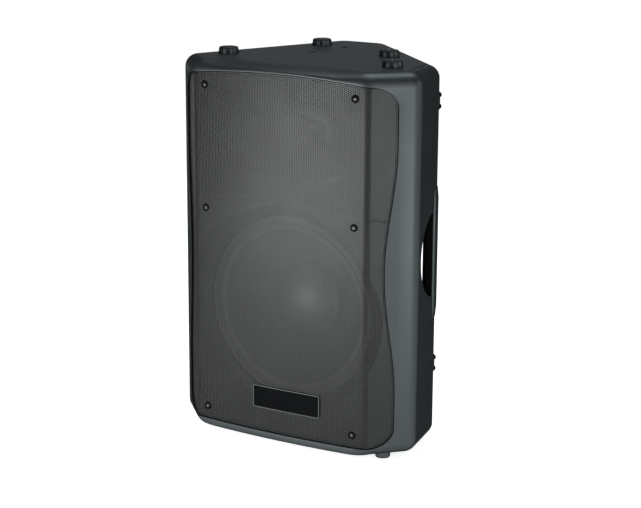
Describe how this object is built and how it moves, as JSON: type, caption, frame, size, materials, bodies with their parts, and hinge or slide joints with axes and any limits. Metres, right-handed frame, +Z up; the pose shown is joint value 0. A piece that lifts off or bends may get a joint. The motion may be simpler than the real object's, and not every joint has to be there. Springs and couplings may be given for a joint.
{
  "type": "pa speaker cabinet",
  "caption": "Moulded two-way loudspeaker cabinet with a wrap-round grille, horn, woofer, carrying handle, pole socket and rear amplifier module; stands upright or lies as a floor monitor",
  "frame": {"origin": "on the floor, under the middle of the cabinet's bounding box", "axes": "+Z up; the grille faces -Y; +X is on the right of someone who looks at the grille"},
  "size_m": [0.3894, 0.3319, 0.568],
  "materials": {
    "moulded_shell": "fine-grained charcoal grey moulded polypropylene",
    "grille_steel": "powder-coated perforated steel sheet",
    "black_plastic": "black moulded plastic",
    "black_screw": "blackened screw",
    "rubber": "dark grey rubber",
    "steel": "zinc-plated steel",
    "cast_magnet": "dark ferrite and steel",
    "cast_frame": "black painted pressed frame",
    "paper_cone": "coated paper pulp",
    "doped_cloth": "doped cloth",
    "spider_cloth": "resin-stiffened cloth",
    "coil_copper": "copper wire on a heat-proof former",
    "thin_dome": "thin formed dome",
    "painted_panel": "black powder coat",
    "fin_aluminium": "black anodised extrusion",
    "circuit_board": "green solder mask",
    "winding": "taped copper winding on a steel core"
  },
  "bodies": {
    "cabinet": {"amp_board": "circuit_board", "amp_heatsink": "fin_aluminium", "amp_panel": "painted_panel", "badge_plate": "black_plastic", "bottom_foot_front_left": "rubber", "bottom_foot_front_right": "rubber", "bottom_foot_rear_left": "rubber", "bottom_foot_rear_right": "rubber", "combo_socket": "black_plastic", "compression_driver": "cast_magnet", "fly_insert_front": "steel", "fly_insert_rear": "steel", "front_shell": "moulded_shell", "grille": "grille_steel", "grille_screw_high_left": "black_screw", "grille_screw_high_right": "black_screw", "grille_screw_low_left": "black_screw", "grille_screw_low_right": "black_screw", "grille_screw_middle_left": "black_screw", "grille_screw_middle_right": "black_screw", "handle_cup": "black_plastic", "handle_grip": "black_plastic", "horn_flare": "black_plastic", "line_jacks": "black_plastic", "link_socket": "black_plastic", "mains_inlet": "black_plastic", "monitor_pad_front_high": "rubber", "monitor_pad_front_low": "rubber", "monitor_pad_rear_high": "rubber", "monitor_pad_rear_low": "rubber", "pole_socket": "black_plastic", "power_transformer": "winding", "rear_shell": "moulded_shell", "switch_housing": "black_plastic", "top_foot_front_left": "rubber", "top_foot_front_right": "rubber", "top_foot_rear_left": "rubber", "top_foot_rear_right": "rubber", "woofer_back_plate": "steel", "woofer_basket": "cast_frame", "woofer_gasket": "rubber", "woofer_magnet": "cast_magnet", "woofer_spider": "spider_cloth", "woofer_surround": "doped_cloth", "woofer_top_plate": "steel"},
    "cone": {"woofer_cone": "paper_cone", "dust_cap": "paper_cone", "voice_coil": "coil_copper"},
    "diaphragm": {"hf_diaphragm": "thin_dome"},
    "mic_level": {"mic_level_knob": "black_plastic"},
    "line_level": {"line_level_knob": "black_plastic"},
    "bass": {"bass_knob": "black_plastic"},
    "treble": {"treble_knob": "black_plastic"},
    "rocker": {"power_rocker": "black_plastic"},
    "latch": {"combo_latch": "steel"}
  },
  "joints": [
    {"name": "cone_stroke", "type": "slide", "parent": "cabinet", "child": "cone", "axis": [0, -1, 0], "range_m": [-0.005, 0.005], "stiffness_N_per_m": 3000, "deforming": ["woofer_surround", "woofer_spider"]},
    {"name": "diaphragm_stroke", "type": "slide", "parent": "cabinet", "child": "diaphragm", "axis": [0, -1, 0], "range_m": [-0.0003, 0.0003], "stiffness_N_per_m": 4000},
    {"name": "mic_level_turn", "type": "hinge", "parent": "cabinet", "child": "mic_level", "pos_m": [-0.15615, -0.0194, 0.413], "axis": [-0.9258, 0.3781, 0], "range_deg": [-150, 150]},
    {"name": "line_level_turn", "type": "hinge", "parent": "cabinet", "child": "line_level", "pos_m": [-0.14254, 0.01392, 0.413], "axis": [-0.9258, 0.3781, 0], "range_deg": [-150, 150]},
    {"name": "bass_turn", "type": "hinge", "parent": "cabinet", "child": "bass", "pos_m": [-0.12893, 0.04725, 0.413], "axis": [-0.9258, 0.3781, 0], "range_deg": [-150, 150]},
    {"name": "treble_turn", "type": "hinge", "parent": "cabinet", "child": "treble", "pos_m": [-0.11531, 0.08058, 0.413], "axis": [-0.9258, 0.3781, 0], "range_deg": [-150, 150]},
    {"name": "rocker_tilt", "type": "hinge", "parent": "cabinet", "child": "rocker", "pos_m": [-0.1576, -0.02745, 0.145], "axis": [0.3781, 0.9258, 0], "range_deg": [-20, 0]},
    {"name": "latch_push", "type": "slide", "parent": "cabinet", "child": "latch", "axis": [0.9258, -0.3781, 0], "range_m": [0, 0.0012], "stiffness_N_per_m": 400}
  ]
}
